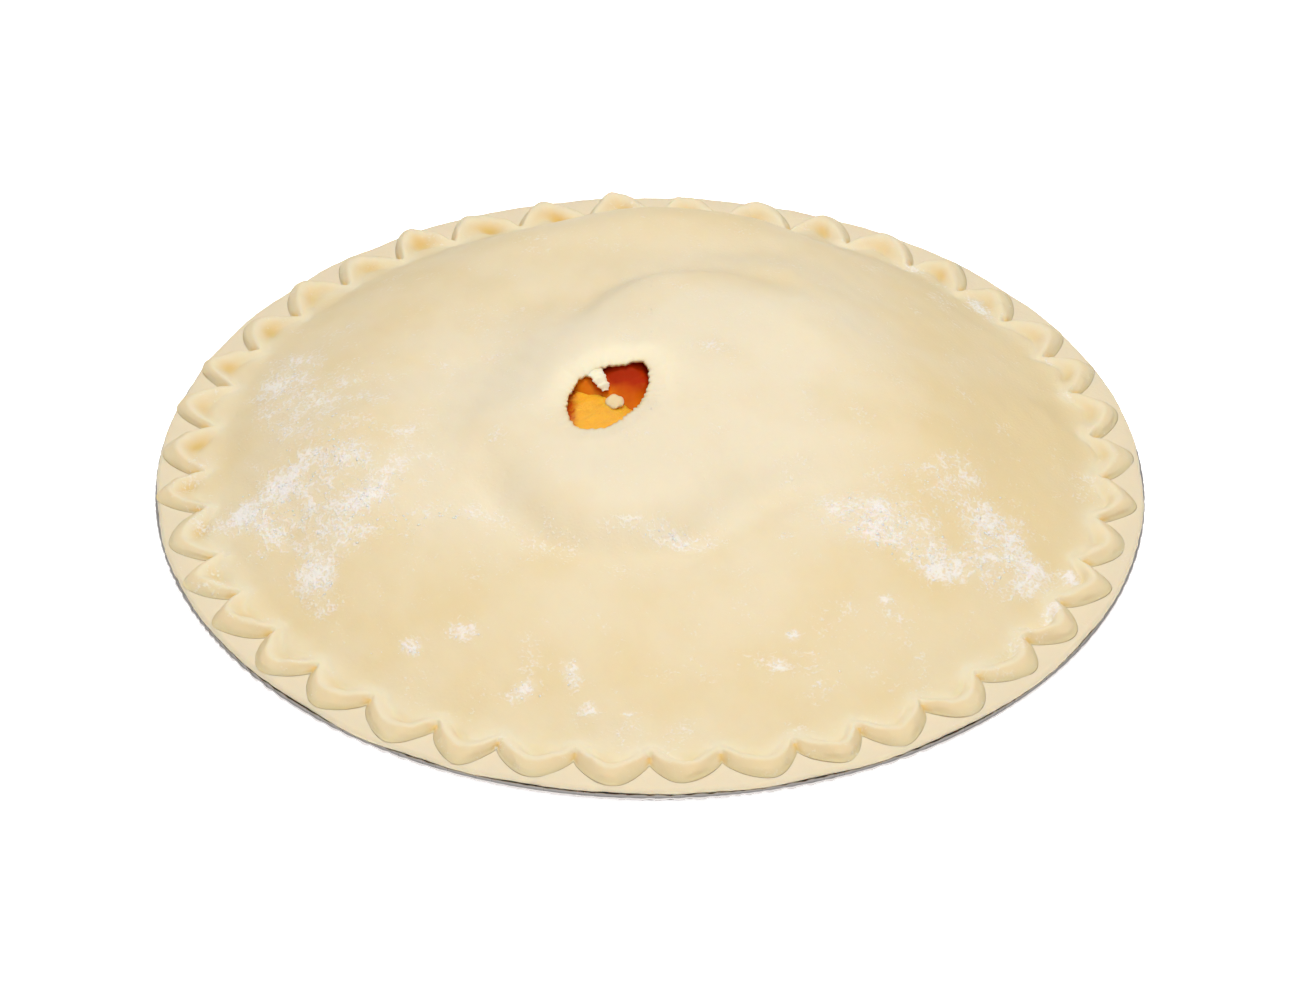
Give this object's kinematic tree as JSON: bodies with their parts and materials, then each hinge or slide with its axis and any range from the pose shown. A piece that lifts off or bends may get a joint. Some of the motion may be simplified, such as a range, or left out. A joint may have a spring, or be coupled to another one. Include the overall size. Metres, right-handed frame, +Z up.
{
  "type": "unbaked peach pie",
  "caption": "Round unbaked double-crust peach pie with a domed floured lid, fluted edge and torn steam vent, in a shallow pressed foil tin.",
  "frame": {"origin": "on the tin's axis, at the underside of its flat base", "axes": "+Z up along the tin's axis; -Y is the front, the side nearest the viewer; +X is to the viewer's right"},
  "size_m": [0.244, 0.244, 0.0591],
  "materials": {
    "foil_tin": "bright pressed foil, slightly crinkled",
    "bottom_crust": null,
    "peach_filling": null,
    "peach_slice": null,
    "top_crust": null
  },
  "bodies": {
    "root": {"foil_tin": "foil_tin", "bottom_crust": "bottom_crust", "peach_filling": "peach_filling", "peach_slice": "peach_slice", "top_crust": "top_crust"}
  },
  "joints": []
}
